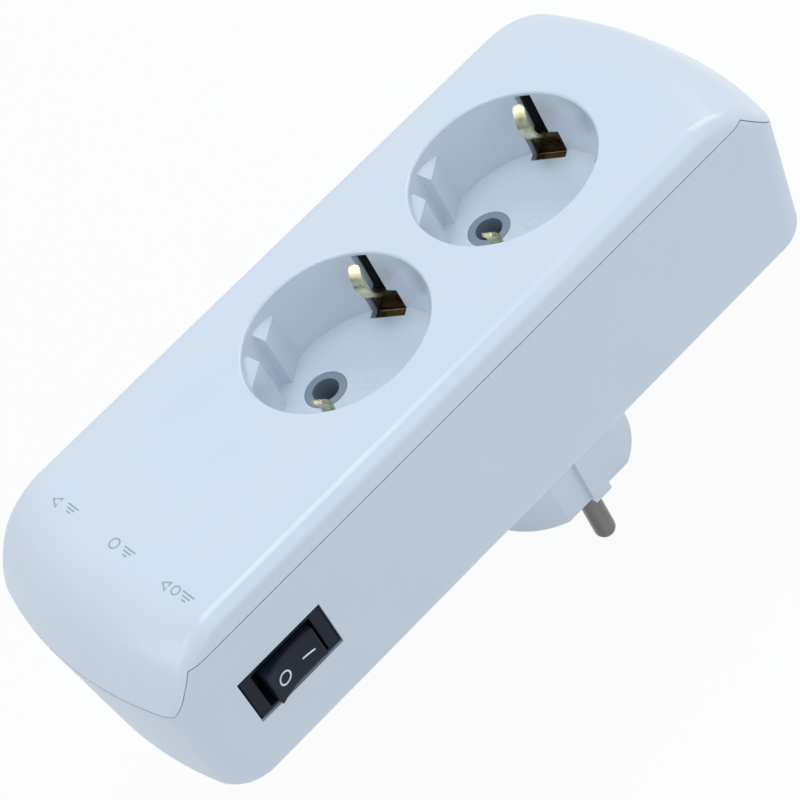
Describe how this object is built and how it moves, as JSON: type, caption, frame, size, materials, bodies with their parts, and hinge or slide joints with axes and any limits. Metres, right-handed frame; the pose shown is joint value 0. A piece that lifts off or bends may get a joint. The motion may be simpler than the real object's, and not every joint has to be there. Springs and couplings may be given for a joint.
{
  "type": "surge protector",
  "caption": "Plug-in surge protector: a white case with sloping ends, round side-earthed sockets turned in its face, a black rocker switch in its side and a round plug on its back.",
  "frame": {"origin": "centre of the plug's face, between its two pins", "axes": "+Z out of the sockets and away from the wall, +X along the case away from the switch, -Y towards the side that holds the switch"},
  "size_m": [0.1748, 0.0649, 0.0897],
  "materials": {
    "cover_plastic": "bluish white, polished mould",
    "base_plastic": "bluish white, satin",
    "switch_plastic": "black, semi-gloss",
    "carrier_plastic": "mid grey, plain",
    "plated_brass": "nickel plated, dull",
    "brass": "bright rolled strip",
    "screw_steel": "zinc plated",
    "board_laminate": "brown laminate",
    "lamp_plastic": "clear red resin",
    "resistor_lacquer": "beige lacquer",
    "varistor_lacquer": "blue epoxy",
    "capacitor_plastic": "yellow box",
    "fuse_glass": "clear tube",
    "arrester_ceramic": "glazed ceramic",
    "brown_insulation": "brown sleeve",
    "blue_insulation": "blue sleeve",
    "earth_insulation": "green and yellow sleeve"
  },
  "bodies": {
    "case": {"base_case": "base_plastic", "board_earth_wire": "earth_insulation", "board_live_wire": "brown_insulation", "board_neutral_wire": "blue_insulation", "board_screws": "screw_steel", "carrier_screws": "screw_steel", "case_screws": "screw_steel", "circuit_board": "board_laminate", "contact_carrier_1": "carrier_plastic", "contact_carrier_2": "carrier_plastic", "earth_link": "brass", "earth_strip_1": "brass", "earth_strip_2": "brass", "earth_wire": "earth_insulation", "film_capacitor": "capacitor_plastic", "fuse": "fuse_glass", "fuse_clips": "plated_brass", "gas_arrester": "arrester_ceramic", "indicator_led_1": "lamp_plastic", "indicator_led_2": "lamp_plastic", "indicator_led_3": "lamp_plastic", "led_resistor_1": "resistor_lacquer", "led_resistor_2": "resistor_lacquer", "led_resistor_3": "resistor_lacquer", "live_strip": "brass", "live_wire_in": "brown_insulation", "live_wire_out": "brown_insulation", "neutral_strip": "brass", "neutral_wire": "blue_insulation", "plug_earth_bracket": "plated_brass", "plug_pin_carrier": "carrier_plastic", "plug_pin_live": "plated_brass", "plug_pin_neutral": "plated_brass", "switch_housing": "switch_plastic", "switch_terminal_1": "plated_brass", "switch_terminal_2": "plated_brass", "top_cover": "cover_plastic", "varistor_1": "varistor_lacquer", "varistor_2": "varistor_lacquer", "varistor_3": "varistor_lacquer"},
    "rocker": {"rocker_button": "switch_plastic"}
  },
  "joints": [
    {"name": "rocker_hinge", "type": "hinge", "parent": "case", "child": "rocker", "pos_m": [-0.07675, -0.02779, 0.04679], "axis": [0, 0.0279, -0.9996], "range_deg": [0, 9]}
  ]
}
